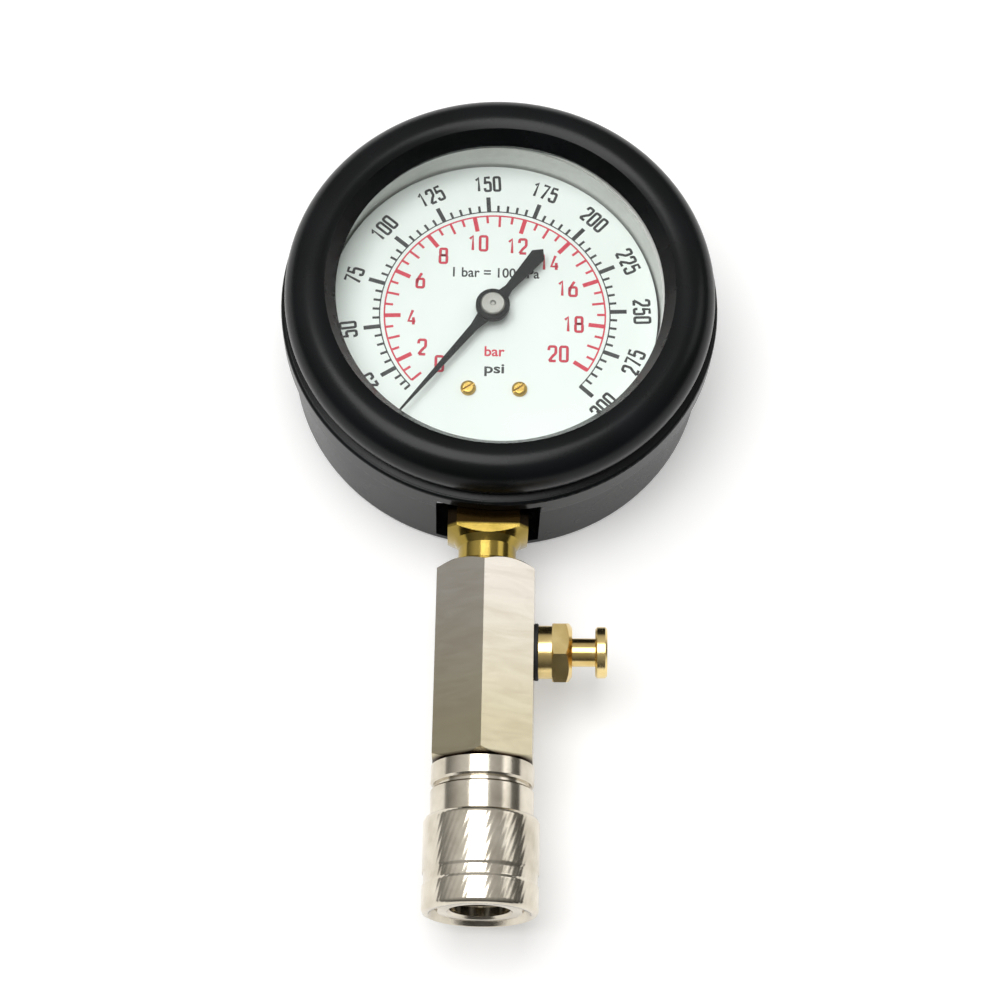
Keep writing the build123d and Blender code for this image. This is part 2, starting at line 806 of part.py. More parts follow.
# Hairspring: a flat spiral above the pinion, pinned to a post at its outer end
spring_z = pinion_z + pinion_height + spring_gap
with BuildPart() as hairspring:
    with BuildSketch(Plane.XY.offset(spring_z)):
        with BuildLine() as spiral:
            for turn in range(half_turns):
                side = 1 if turn % 2 == 0 else -1
                start_r = spiral_start + spiral_pitch * turn / 2
                end_r = spiral_start + spiral_pitch * (turn + 1) / 2
                RadiusArc((side * start_r, 0), (-side * end_r, 0), -(start_r + end_r) / 2)
        trace(line_width=spiral_strip[0])
    extrude(amount=spiral_strip[1])
save(hairspring.part, "hairspring")

# Hairspring collet: a brass ring pressed on the arbor, inside the spiral
with BuildPart() as hairspring_collet:
    with BuildSketch(Plane.XY.offset(spring_z - pin_proud)):
        Circle(spiral_start - spiral_strip[0])
        Circle(arbor_r, mode=Mode.SUBTRACT)
    extrude(amount=spiral_strip[1] + 2 * pin_proud)
save(hairspring_collet.part, "hairspring_collet")

# Hairspring post: the pillar that the spiral's outer end is pinned to
spring_post_r = spiral_start + spiral_pitch * half_turns / 2
with BuildPart() as hairspring_post:
    with BuildSketch(Plane.XY.offset(plate_bottom_z + plate_thick)):
        with Locations((-spring_post_r - post_r - spiral_strip[0] / 2, 0)):
            Circle(post_r)
    extrude(amount=plate_top_z - plate_bottom_z - plate_thick)
save(hairspring_post.part, "hairspring_post")

# Pointer: a thin blade with a round hub, a long needle and a broad pointed tail
pointer_plane = Plane(
    origin=(0, 0, pointer_z),
    x_dir=(cos(radians(zero_angle)), sin(radians(zero_angle)), 0),
    z_dir=(0, 0, 1),
)
with BuildPart() as pointer:
    with BuildSketch(pointer_plane):
        with BuildLine():
            Polyline(
                (pointer_tip_r, 0),
                (pointer_tip_r, needle_tip_half),
                needle_root,
                blade_root,
                (-blade_root[0], blade_root[1]),
                (-tail_neck[0], tail_neck[1]),
                (tail_point - pointer_tail_r, tail_half),
                (-pointer_tail_r, 0),
                close=True,
            )
        make_face()
        mirror(about=Plane.XZ)
    extrude(amount=pointer_thick)
    with BuildSketch(Plane.XY.offset(pointer_z)):
        Circle(hub_r)
    extrude(amount=hub_top_z - pointer_z)
    with BuildSketch(Plane.XY.offset(pointer_z)):
        Circle(arbor_r)
    extrude(amount=hub_top_z - pointer_z, mode=Mode.SUBTRACT)
save(pointer.part, "pointer")

# Pointer cap: a turned disc on the hub, with a small centre dimple
with BuildPart() as pointer_cap:
    with BuildSketch(Plane.XZ):
        with BuildLine():
            Polyline(
                (0, hub_top_z),
                (cap_r, hub_top_z),
                (cap_r, cap_top_z - cap_bevel),
                (cap_r - cap_bevel, cap_top_z),
                (dimple_r, cap_top_z),
                (dimple_r - dimple_deep, cap_top_z - dimple_deep),
                (0, cap_top_z - dimple_deep),
                close=True,
            )
        make_face()
    revolve(axis=Axis.Z)
save(pointer_cap.part, "pointer_cap")

# Adapter: a long hexagonal body with one corner to the front, chamfered at both ends
hex_corner_r = hex_flats / sqrt(3)
with BuildPart() as adapter_body:
    with BuildSketch(stem_level(hex_top_y)):
        RegularPolygon(hex_corner_r, 6, rotation=30 + adapter_turn)
    extrude(amount=hex_end_y - hex_top_y)
    with BuildSketch(Plane.XY.offset(stem_z)):
        with BuildLine():
            Polyline(
                (0, -hex_top_y),
                (hex_face_r, -hex_top_y),
                (hex_corner_r, -hex_top_y - hex_chamfer),
                (hex_corner_r, -hex_end_y + hex_chamfer),
                (hex_face_r, -hex_end_y),
                (0, -hex_end_y),
                close=True,
            )
        make_face()
    revolve(axis=Axis(stem_point, (0, 1, 0)), mode=Mode.INTERSECT)
    with BuildSketch(stem_level(hex_top_y)):
        Circle(thread_r)
    extrude(amount=top_thread_depth, mode=Mode.SUBTRACT)
    with BuildSketch(stem_level(hex_top_y)):
        Circle(adapter_bore_r)
    extrude(amount=hex_end_y - hex_top_y, mode=Mode.SUBTRACT)
    with BuildSketch(stem_level(hex_end_y)):
        Circle(bottom_thread_r)
    extrude(amount=-bottom_thread_depth, mode=Mode.SUBTRACT)
    with BuildSketch(valve_level(0)):
        Circle(valve_thread_r)
    extrude(amount=-flat_x, mode=Mode.SUBTRACT)
save(adapter_body.part, "adapter_body")

# Socket washer: seals the socket's thread on the floor of the adapter's upper bore
with BuildPart() as socket_washer:
    with BuildSketch(stem_level(hex_top_y + thread_len)):
        Circle(thread_r)
        Circle(adapter_bore_r, mode=Mode.SUBTRACT)
    extrude(amount=top_thread_depth - thread_len)
save(socket_washer.part, "socket_washer")

# Valve gasket: a flat rubber ring under the valve's collar
with BuildPart() as valve_gasket:
    with BuildSketch(valve_level(0)):
        Circle(gasket_r)
        Circle(valve_thread_r, mode=Mode.SUBTRACT)
    extrude(amount=gasket_thick)
    fillet(valve_gasket.edges().filter_by(GeomType.CIRCLE).sort_by(SortBy.RADIUS)[-2:], radius=gasket_round)
save(valve_gasket.part, "valve_gasket")

# Valve body: a turned collar, a hexagon coned at its outer end, and a shank in the adapter
with BuildPart() as valve_body:
    with BuildSketch(valve_level(collar_end)):
        RegularPolygon(valve_corner_r, 6, rotation=90 + valve_hex_turn)
    extrude(amount=valve_hex_end - collar_end)
    with BuildSketch(valve_plane):
        with BuildLine():
            Polyline(
                (flat_x + collar_end, valve_y),
                (flat_x + collar_end, valve_y + valve_inner_face_r),
                (flat_x + collar_end + edge_break, valve_y + valve_corner_r),
                (flat_x + valve_hex_end - valve_cone, valve_y + valve_corner_r),
                (flat_x + valve_hex_end, valve_y + valve_outer_face_r),
                (flat_x + valve_hex_end, valve_y),
                close=True,
            )
        make_face()
    revolve(axis=valve_axis, mode=Mode.INTERSECT)
    with BuildSketch(valve_level(gasket_thick)):
        Circle(valve_collar_r)
    extrude(amount=collar_end - gasket_thick)
    with BuildSketch(valve_level(valve_shank_end)):
        Circle(valve_thread_r)
    extrude(amount=gasket_thick - valve_shank_end)
    with BuildSketch(valve_level(valve_hex_end)):
        Circle(valve_guide_r)
    extrude(amount=valve_ledge - valve_hex_end, mode=Mode.SUBTRACT)
    with BuildSketch(valve_level(valve_shank_end)):
        Circle(spindle_way_r)
    extrude(amount=valve_ledge - valve_shank_end, mode=Mode.SUBTRACT)
save(valve_body.part, "valve_body")

# Valve button: a knob and stem turned in one with the thin spindle that opens the seal
with BuildPart() as valve_button:
    with BuildSketch(valve_plane):
        with BuildLine():
            Polyline(
                (flat_x + knob_end, valve_y),
                (flat_x + knob_end, valve_y + knob_r - edge_break),
                (flat_x + knob_end - edge_break, valve_y + knob_r),
                (flat_x + knob_start + edge_break, valve_y + knob_r),
                (flat_x + knob_start, valve_y + knob_r - edge_break),
                (flat_x + knob_start, valve_y + stem_r),
                (flat_x + stem_shoulder, valve_y + stem_r),
                (flat_x + stem_shoulder, valve_y + spindle_r),
                (flat_x + valve_shank_end - seal_disc_thick, valve_y + spindle_r),
                (flat_x + valve_shank_end - seal_disc_thick, valve_y),
                close=True,
            )
        make_face()
    revolve(axis=valve_axis)
save(valve_button.part, "valve_button")

with BuildPart() as valve_seal:
    with BuildSketch(valve_level(valve_shank_end)):
        Circle(seal_disc_r)
        Circle(spindle_r, mode=Mode.SUBTRACT)
    extrude(amount=-seal_disc_thick)
save(valve_seal.part, "valve_seal")


def coil(radius, height, turns, wire, plane):
    """A compression spring of square-cut wire, wound up the normal of a plane."""
    pitch = (height - wire) / turns
    path = Helix(pitch=pitch, height=pitch * turns, radius=radius)
    start = path.position_at(0)
    along = path.tangent_at(0)
    face = Plane(origin=start, x_dir=(1, 0, 0), z_dir=along) * Rectangle(wire, wire)
    spring = sweep(face, path=path, is_frenet=True)
    return plane * Pos(0, 0, wire / 2) * spring


# Valve spring: pushes the button out until the seal closes on the shank
valve_spring = coil(
    valve_spring_r,
    stem_shoulder - valve_ledge,
    valve_spring_turns,
    valve_spring_wire,
    valve_level(valve_ledge),
)
save(valve_spring, "valve_spring")

# Coupler body: a turned barrel with a threaded shank, a collar and a band that the sleeve
# slides over, bored through for the plug at its mouth and for the valve pin behind
with BuildPart() as coupler_body:
    with BuildSketch(Plane.XY.offset(stem_z)):
        with BuildLine():
            Polyline(
                (chamber_r, -hex_end_y + bottom_thread_depth),
                (bottom_thread_r, -hex_end_y + bottom_thread_depth),
                (bottom_thread_r, -hex_end_y),
                (collar_r, -hex_end_y),
                (collar_r, -collar_y + edge_break),
                (collar_r - edge_break, -collar_y),
                (collar_groove_r, -collar_y),
                (collar_groove_r, -collar_groove_y),
                (collar_r - edge_break, -collar_groove_y),
                (collar_r, -collar_groove_y - edge_break),
                (collar_r, -band_end_y),
                (barrel_r, -band_end_y),
                (barrel_r, -snap_ring_y[0]),
                (snap_groove_r, -snap_ring_y[0]),
                (snap_groove_r, -snap_ring_y[1]),
                (barrel_r, -snap_ring_y[1]),
                (barrel_r, -mouth_y + mouth_bevel),
                (barrel_r - mouth_bevel, -mouth_y),
                (lead_r + mouth_bevel, -mouth_y),
                (lead_r, -mouth_y + mouth_bevel),
                (lead_r, -lead_end_y),
                (mouth_r, -lead_end_y),
                (mouth_r, -seal_y[1]),
                (seal_r, -seal_y[1]),
                (seal_r, -seal_y[0]),
                (mouth_r, -seal_y[0]),
                (mouth_r, -mouth_floor_y),
                (valve_seat_r, -mouth_floor_y),
                (valve_seat_r, -seat_start_y - chamber_r + valve_seat_r),
                (chamber_r, -seat_start_y),
                close=True,
            )
        make_face()
    revolve(axis=Axis(stem_point, (0, 1, 0)))
    # Radial holes for the locking balls, narrowed at the bore so that the balls stay in
    for number in range(ball_count):
        around = 45 + number * 360 / ball_count
        outwards = (sin(radians(around)), 0, cos(radians(around)))
        ball_hole = Plane(origin=(0, -ball_y, stem_z), x_dir=(0, 1, 0), z_dir=outwards)
        with BuildSketch(ball_hole):
            Circle(ball_lip_r)
        extrude(amount=barrel_r, mode=Mode.SUBTRACT)
        with BuildSketch(ball_hole.offset(ball_lip_end_r)):
            Circle(ball_hole_r)
        extrude(amount=barrel_r, mode=Mode.SUBTRACT)
save(coupler_body.part, "coupler_body")

# Locking balls, resting in the barrel's holes under the sleeve's land
with BuildPart() as locking_balls:
    with Locations(Location(stem_level(ball_y))):
        with PolarLocations(ball_place_r, ball_count, start_angle=45):
            Sphere(ball_r)
save(locking_balls.part, "locking_balls")

# Coupler seal: the rubber ring that grips the plug
with BuildPart() as coupler_seal:
    with BuildSketch(stem_level(seal_y[0])):
        Circle(seal_r)
        Circle(seal_bore_r, mode=Mode.SUBTRACT)
    extrude(amount=seal_y[1] - seal_y[0])
save(coupler_seal.part, "coupler_seal")

# Snap ring: a split ring near the mouth that stops the sleeve
with BuildPart() as snap_ring:
    with BuildSketch(stem_level(snap_ring_y[0])):
        Circle(snap_ring_r)
        Circle(snap_groove_r, mode=Mode.SUBTRACT)
        with Locations((0, -snap_ring_r)):
            Rectangle(snap_ring_gap, snap_ring_r, mode=Mode.SUBTRACT)
    extrude(amount=snap_ring_y[1] - snap_ring_y[0])
save(snap_ring.part, "snap_ring")

# Coupler sleeve: the sliding grip, with a groove round it and an inner land over the balls
with BuildPart() as coupler_sleeve:
    with BuildSketch(Plane.XY.offset(stem_z)):
        with BuildLine():
            Polyline(
                (sleeve_bore_r, -sleeve_top_y),
                (sleeve_r - sleeve_round, -sleeve_top_y),
            )
            RadiusArc(
                (sleeve_r - sleeve_round, -sleeve_top_y),
                (sleeve_r, -sleeve_top_y - sleeve_round),
                sleeve_round,
            )
            Polyline(
                (sleeve_r, -sleeve_top_y - sleeve_round),
                (sleeve_r, -sleeve_groove_y[0]),
                (sleeve_r - sleeve_groove_depth, -sleeve_groove_y[0] - sleeve_groove_depth),
                (sleeve_r - sleeve_groove_depth, -sleeve_groove_y[1] + sleeve_groove_depth),
                (sleeve_r, -sleeve_groove_y[1]),
                (sleeve_r, -sleeve_end_y + sleeve_round),
            )
            RadiusArc(
                (sleeve_r, -sleeve_end_y + sleeve_round),
                (sleeve_r - sleeve_round, -sleeve_end_y),
                sleeve_round,
            )
            Polyline(
                (sleeve_r - sleeve_round, -sleeve_end_y),
                (sleeve_front_r, -sleeve_end_y),
                (sleeve_front_r, -land_y[1]),
                (land_r, -land_y[1]),
                (land_r, -land_y[0]),
                (sleeve_bore_r, -land_y[0]),
                (sleeve_bore_r, -sleeve_top_y),
            )
        make_face()
    revolve(axis=Axis(stem_point, (0, 1, 0)))
save(coupler_sleeve.part, "coupler_sleeve")

# Sleeve spring: sits on the barrel between the band and the sleeve's land
sleeve_spring = coil(
    coupler_spring_r,
    land_y[0] - band_end_y,
    coupler_spring_turns,
    coupler_spring_wire,
    stem_level(band_end_y),
)
save(sleeve_spring, "sleeve_spring")

# Valve pin: a coned head on its seat, with a stem that the plug pushes back
with BuildPart() as coupler_pin:
    with BuildSketch(Plane.XY.offset(stem_z)):
        with BuildLine():
            Polyline(
                (0, -pin_head_y),
                (pin_head_r, -pin_head_y),
                (pin_head_r, -seat_start_y - chamber_r + pin_head_r + seat_gap),
                (valve_seat_r, -seat_start_y - chamber_r + valve_seat_r + seat_gap),
                (pin_stem_r, -seat_start_y - chamber_r + valve_seat_r),
                (pin_stem_r, -pin_tip_y + edge_break),
                (pin_stem_r - edge_break, -pin_tip_y),
                (0, -pin_tip_y),
                close=True,
            )
        make_face()
    revolve(axis=Axis(stem_point, (0, 1, 0)))
save(coupler_pin.part, "coupler_pin")

# Pin spring: from the floor of the adapter's lower bore to the pin's head
pin_spring_start = hex_end_y - bottom_thread_depth
pin_spring_len = pin_head_y - pin_spring_start
pin_spring = coil(
    pin_spring_r, pin_spring_len, pin_spring_turns, pin_spring_wire, stem_level(pin_spring_start)
)
save(pin_spring, "pin_spring")
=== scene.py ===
"""Compression tester lying on a pale floor, seen from above its dial.

The frame is the part's own, in metres: Z = 0 is the back of the rubber boot, +Z comes out of the
dial, +Y is the top of the dial and X = Y = 0 is the axis of the pointer. Sizes named with _mm are
in millimetres.
"""
from math import cos, pi, radians, sin, tan

import bmesh
import bpy
from mathutils import Matrix, Vector


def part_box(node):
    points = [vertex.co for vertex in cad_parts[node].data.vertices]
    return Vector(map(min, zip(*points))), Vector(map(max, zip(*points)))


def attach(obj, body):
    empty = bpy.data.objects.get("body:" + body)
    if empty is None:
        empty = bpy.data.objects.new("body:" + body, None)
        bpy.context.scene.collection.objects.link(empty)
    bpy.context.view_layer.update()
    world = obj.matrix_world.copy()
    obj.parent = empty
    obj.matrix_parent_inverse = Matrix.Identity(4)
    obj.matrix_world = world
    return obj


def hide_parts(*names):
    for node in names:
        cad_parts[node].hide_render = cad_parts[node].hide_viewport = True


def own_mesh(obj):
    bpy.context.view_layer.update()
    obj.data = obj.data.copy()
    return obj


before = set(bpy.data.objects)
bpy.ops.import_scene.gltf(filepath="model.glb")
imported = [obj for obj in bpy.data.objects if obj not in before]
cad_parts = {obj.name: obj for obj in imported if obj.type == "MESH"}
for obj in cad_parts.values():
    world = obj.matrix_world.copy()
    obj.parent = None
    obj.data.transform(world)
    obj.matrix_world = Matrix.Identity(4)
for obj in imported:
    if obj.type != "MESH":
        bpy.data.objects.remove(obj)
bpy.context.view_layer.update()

MM = 0.001

# Places read from the frame
dial_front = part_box("dial")[1].z
stem_axis_z = (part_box("coupler_sleeve")[0].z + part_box("coupler_sleeve")[1].z) / 2


def hex_colour(text):
    """An sRGB hex colour as linear red, green, blue and alpha."""
    channels = [int(text[i:i + 2], 16) / 255 for i in (1, 3, 5)]
    linear = [c / 12.92 if c <= 0.04045 else ((c + 0.055) / 1.055) ** 2.4 for c in channels]
    return (*linear, 1.0)


def fill(tree, node, settings):
    """Sets a node's properties and sockets. A socket takes a value or another node's output."""
    for name, value in settings.items():
        if isinstance(value, bpy.types.NodeSocket):
            tree.links.new(value, node.inputs[name])
        elif hasattr(node, str(name)):
            setattr(node, name, value)
        else:
            node.inputs[name].default_value = value


def add(tree, kind, settings):
    """Adds a node with its settings."""
    node = tree.nodes.new(kind)
    fill(tree, node, settings)
    return node


def noise(tree, place, scale, detail, distortion=0.0):
    """A smooth noise about 0.5, its scale in grains per metre."""
    settings = {"Scale": scale, "Detail": detail, "Distortion": distortion, "Vector": place}
    return add(tree, "ShaderNodeTexNoise", settings).outputs["Fac"]


def ramp(tree, value, *stops):
    """A colour that runs between two stops, each a value and its colour."""
    node = add(tree, "ShaderNodeValToRGB", {"Fac": value})
    for element, (position, colour) in zip(node.color_ramp.elements, stops):
        element.position = position
        element.color = hex_colour(colour)
    return node.outputs["Color"]


def mapped(tree, value, source, target, interpolation="LINEAR"):
    """Carries a value from one range to another, and holds it at their ends."""
    settings = {
        "interpolation_type": interpolation,
        "Value": value,
        "From Min": source[0],
        "From Max": source[1],
        "To Min": target[0],
        "To Max": target[1],
    }
    return add(tree, "ShaderNodeMapRange", settings).outputs["Result"]


def maths(tree, operation, *values):
    """Puts values through an operation. Each is a number or another node's output."""
    settings = {"operation": operation, **dict(enumerate(values))}
    return add(tree, "ShaderNodeMath", settings).outputs[0]


def bumped(tree, height, strength, distance):
    """The normal of a surface with a fine relief, its depth in metres."""
    settings = {"Strength": strength, "Distance": distance, "Height": height}
    return add(tree, "ShaderNodeBump", settings).outputs["Normal"]


def rays(tree, *kinds):
    """1 for the named kinds of ray, and 0 for the others."""
    path = add(tree, "ShaderNodeLightPath", {})
    either = path.outputs[kinds[0]]
    for kind in kinds[1:]:
        either = maths(tree, "MAXIMUM", either, path.outputs[kind])
    return either


def new_material(name):
    """A material with its node tree, its surface shader and its Object coordinates."""
    material = bpy.data.materials.new(name)
    material.use_nodes = True
    tree = material.node_tree
    place = add(tree, "ShaderNodeTexCoord", {}).outputs["Object"]
    return material, tree, tree.nodes["Principled BSDF"], place


def stained(tree, place, unshaded, shade_colour, start_y, end_y):
    """Darkens a metal with painted shade, a dark colour that sets in between two places along Y.
    """
    along = add(tree, "ShaderNodeSeparateXYZ", {"Vector": place}).outputs["Y"]
    reach = mapped(tree, along, (start_y, end_y), (0.0, 1.0))
    settings = {"data_type": "RGBA", 0: reach, 6: unshaded, 7: hex_colour(shade_colour)}
    return add(tree, "ShaderNodeMix", settings).outputs[2]


def moulded_rubber():
    """Compression-moulded nitrile rubber: near black, with a faint cool bloom and a soft gloss."""
    material, tree, shader, place = new_material("moulded_rubber")
    bloom = noise(tree, place, 55.0, 5.0)
    # Mould texture about 0.4 mm across
    grain = noise(tree, place, 2500.0, 3.0)
    surface = {
        "Base Color": ramp(tree, bloom, (0.35, "#080a0a"), (0.75, "#0f1114")),
        "Roughness": mapped(tree, bloom, (0.0, 1.0), (0.2, 0.34)),
        "Specular IOR Level": 0.19,
        "Normal": bumped(tree, grain, 0.12, 0.0001),
    }
    fill(tree, shader, surface)
    return material


def seal_rubber():
    """Cut nitrile sheet: flat black and dry."""
    material, tree, shader, place = new_material("seal_rubber")
    grain = noise(tree, place, 1800.0, 3.0)
    surface = {
        "Base Color": ramp(tree, grain, (0.3, "#101113"), (0.8, "#1d1e20")),
        "Roughness": 0.7,
        "Normal": bumped(tree, grain, 0.2, 0.0001),
    }
    fill(tree, shader, surface)
    return material


def painted_steel():
    """Pressed steel under pale grey stoving enamel: a little glossy, with slight orange peel."""
    material, tree, shader, place = new_material("painted_steel")
    peel = noise(tree, place, 900.0, 2.0)
    surface = {
        "Base Color": ramp(tree, peel, (0.3, "#e6e8e4"), (0.7, "#eef0ec")),
        "Roughness": 0.4,
        "Normal": bumped(tree, peel, 0.1, 0.0001),
    }
    fill(tree, shader, surface)
    return material


def dial_enamel():
    """White screen-printed enamel on aluminium sheet: faintly cool and nearly matt."""
    material, tree, shader, place = new_material("dial_enamel")
    cloud = noise(tree, place, 45.0, 3.0)
    surface = {
        "Base Color": ramp(tree, cloud, (0.3, "#ecf3ef"), (0.7, "#f3f9f6")),
        "Roughness": 0.45,
    }
    fill(tree, shader, surface)
    return material


def dial_ink(name, dark, light):
    """Screen-printing ink: flat, with a slightly uneven coat."""
    material, tree, shader, place = new_material(name)
    coat = noise(tree, place, 1500.0, 2.0)
    surface = {
        "Base Color": ramp(tree, coat, (0.35, dark), (0.75, light)),
        "Roughness": 0.55,
    }
    fill(tree, shader, surface)
    return material


def pointer_black():
    """Black anodised aluminium blade: satin, with a faint mottle."""
    material, tree, shader, place = new_material("pointer_black")
    mottle = noise(tree, place, 700.0, 4.0)
    surface = {
        "Base Color": ramp(tree, mottle, (0.3, "#070909"), (0.8, "#111415")),
        "Roughness": 0.5,
        "Specular IOR Level": 0.15,
    }
    fill(tree, shader, surface)
    return material


def turned_metal(name, dark, light, roughness, axis, painted_shade=None):
    """Metal cut on a lathe: fine rings across the axis of turning, and a slightly uneven tone."""
    material, tree, shader, place = new_material(name)
    # Rings 0.18 mm apart
    wave = {
        "bands_direction": axis,
        "Scale": 1745.0,
        "Distortion": 0.6,
        "Detail": 2.0,
        "Vector": place,
    }
    rings = add(tree, "ShaderNodeTexWave", wave).outputs["Fac"]
    tone = noise(tree, place, 160.0, 3.0)
    colour = ramp(tree, tone, (0.3, dark), (0.7, light))
    # An optional band of painted shade, darker between two places along Y
    if painted_shade:
        colour = stained(tree, place, colour, *painted_shade)
    surface = {
        "Base Color": colour,
        "Metallic": 1.0,
        "Roughness": mapped(tree, tone, (0.0, 1.0), (roughness * 0.8, roughness * 1.25)),
        "Normal": bumped(tree, rings, 0.25, 0.00001),
    }
    fill(tree, shader, surface)
    return material


def rolled_metal(name, dark, light, roughness):
    """Rolled or drawn metal: bright, with a faint waviness and fine marks from the rolls."""
    material, tree, shader, place = new_material(name)
    waves = noise(tree, place, 90.0, 4.0)
    marks = noise(tree, place, 900.0, 3.0)
    height = maths(tree, "MULTIPLY_ADD", marks, 0.25, waves)
    surface = {
        "Base Color": ramp(tree, waves, (0.3, dark), (0.7, light)),
        "Metallic": 1.0,
        "Roughness": mapped(tree, marks, (0.0, 1.0), (roughness * 0.8, roughness * 1.3)),
        "Normal": bumped(tree, height, 0.15, 0.0002),
    }
    fill(tree, shader, surface)
    return material


def milled_nickel():
    """Nickel over the milled hexagon: streaks across it, and painted shade, a brown band at its
    lower end by the coupler.
    """
    material, tree, shader, place = new_material("milled_nickel")
    along = add(tree, "ShaderNodeSeparateXYZ", {"Vector": place}).outputs["Y"]
    drawn = add(tree, "ShaderNodeMapping", {"Scale": (0.25, 1.0, 0.25), "Vector": place})
    streaks = noise(tree, drawn.outputs["Vector"], 420.0, 5.0, distortion=0.8)
    waves = noise(tree, place, 90.0, 4.0)
    # The plating is warmer towards the coupler
    warmth = mapped(tree, along, (-0.062, -0.09), (0.0, 1.0))
    lengthwise = ramp(tree, warmth, (0.0, "#cfc9bf"), (1.0, "#c3ba9f"))
    mottle = ramp(tree, streaks, (0.3, "#f1efec"), (0.65, "#ffffff"))
    mixed = {"data_type": "RGBA", "blend_type": "MULTIPLY", 0: 1.0, 6: lengthwise, 7: mottle}
    plated = add(tree, "ShaderNodeMix", mixed).outputs[2]
    height = maths(tree, "MULTIPLY_ADD", streaks, 0.07, waves)
    surface = {
        # Painted shade: a brown band at the hexagon's lower end, where the coupler's collar shades
        # it
        "Base Color": stained(tree, place, plated, "#33261a", -0.0961, -0.0967),
        "Metallic": 1.0,
        "Roughness": 0.22,
        "Normal": bumped(tree, height, 0.14, 0.0002),
    }
    fill(tree, shader, surface)
    return material


def clear_glass():
    """Float glass: colourless and smooth. Light that isn't seen directly passes it unbent."""
    material, tree, shader, place = new_material("clear_glass")
    smear = noise(tree, place, 60.0, 2.0)
    surface = {
        "Base Color": hex_colour("#fbfefd"),
        "IOR": 1.45,
        "Transmission Weight": 1.0,
        "Roughness": mapped(tree, smear, (0.0, 1.0), (0.0, 0.04)),
    }
    fill(tree, shader, surface)
    unseen = rays(tree, "Is Shadow Ray", "Is Diffuse Ray")
    through = add(tree, "ShaderNodeBsdfTransparent", {}).outputs["BSDF"]
    both = add(tree, "ShaderNodeMixShader", {0: unseen, 1: shader.outputs["BSDF"], 2: through})
    fill(tree, tree.nodes["Material Output"], {"Surface": both.outputs["Shader"]})
    return material


def dress(material, *nodes):
    """Gives CAD nodes their material."""
    for name in nodes:
        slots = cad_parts[name].data.materials
        slots.clear()
        slots.append(material)


def finish_piece(mesh, name, material, body, replaced=()):
    """Turns a bmesh into a piece of the scene, with its material and body, and hides the parts it
    replaces.
    """
    data = bpy.data.meshes.new(name)
    mesh.to_mesh(data)
    mesh.free()
    data.materials.append(material)
    piece = bpy.data.objects.new(name, data)
    bpy.context.scene.collection.objects.link(piece)
    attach(piece, body)
    if replaced:
        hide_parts(*replaced)
    return piece


# Camera: a long lens, high over the coupler's end and rolled a little
camera_lens = 90.0
camera_sensor = 36.0
camera_elevation = 67.9
camera_azimuth = -1.93
camera_roll = 3.18
camera_depth = 0.52342
dial_up = 0.03908
dial_right = -0.00157


def set_camera():
    """Places the camera by where the middle of the dial lies in its picture."""
    lift = radians(camera_elevation)
    turn = Matrix.Rotation(radians(camera_azimuth), 3, "Z")
    forward = turn @ Vector((0, cos(lift), -sin(lift)))
    level = turn @ Vector((1, 0, 0))
    upright = turn @ Vector((0, sin(lift), cos(lift)))
    roll = radians(camera_roll)
    up = cos(roll) * upright - sin(roll) * level
    right = cos(roll) * level + sin(roll) * upright
    dial_middle = Vector((0, 0, dial_front))
    place = dial_middle - camera_depth * forward - dial_up * up - dial_right * right
    data = bpy.data.cameras.new("camera")
    data.lens = camera_lens
    data.sensor_width = camera_sensor
    data.clip_start = 0.01
    camera = bpy.data.objects.new("camera", data)
    axes = Matrix((right, up, -forward)).transposed()
    camera.matrix_world = Matrix.Translation(place) @ axes.to_4x4()
    bpy.context.scene.collection.objects.link(camera)
    bpy.context.scene.camera = camera


def area_light(name, place, target, size, power):
    """A soft square white lamp that faces a target."""
    data = bpy.data.lights.new(name, "AREA")
    data.shape = "SQUARE"
    data.size = size
    data.energy = power
    lamp = bpy.data.objects.new(name, data)
    aim = Vector(target) - Vector(place)
    turn = aim.to_track_quat("-Z", "Y").to_matrix().to_4x4()
    lamp.matrix_world = Matrix.Translation(place) @ turn
    bpy.context.scene.collection.objects.link(lamp)


def set_lights():
    """A large soft lamp overhead and a pale panel on the right, in a dim grey studio."""
    area_light(
        "overhead_lamp", place=(-0.15, -0.02, 0.95), target=(0, -0.03, 0.02), size=0.62, power=6.4
    )
    area_light("side_panel", place=(0.8, 0.3, 0.6), target=(0, -0.1, 0.02), size=0.36, power=0.55)
    world = bpy.data.worlds.new("studio")
    bpy.context.scene.world = world
    world.use_nodes = True
    tree = world.node_tree
    tree.nodes.clear()
    way = add(tree, "ShaderNodeTexCoord", {}).outputs["Generated"]
    split = add(tree, "ShaderNodeSeparateXYZ", {"Vector": way}).outputs
    # Dark round the horizon and lighter overhead, lighter on the left than on the right, and
    # darker on the near side than on the far one
    height = mapped(tree, split["Z"], (0.05, 0.8), (0.12, 0.42), "SMOOTHSTEP")
    side = mapped(tree, split["X"], (-0.9, 0.9), (1.95, 0.95))
    depth = mapped(tree, split["Y"], (-1.0, 0.4), (0.35, 1.0))
    strength = maths(tree, "MULTIPLY", height, maths(tree, "MULTIPLY", side, depth))
    sky = add(
        tree, "ShaderNodeBackground", {"Color": hex_colour("#fdfcf9"), "Strength": strength}
    )
    add(tree, "ShaderNodeOutputWorld", {"Surface": sky.outputs["Background"]})


# Emission of the floor where a camera, glossy or transmission ray meets it
floor_glow = 0.3


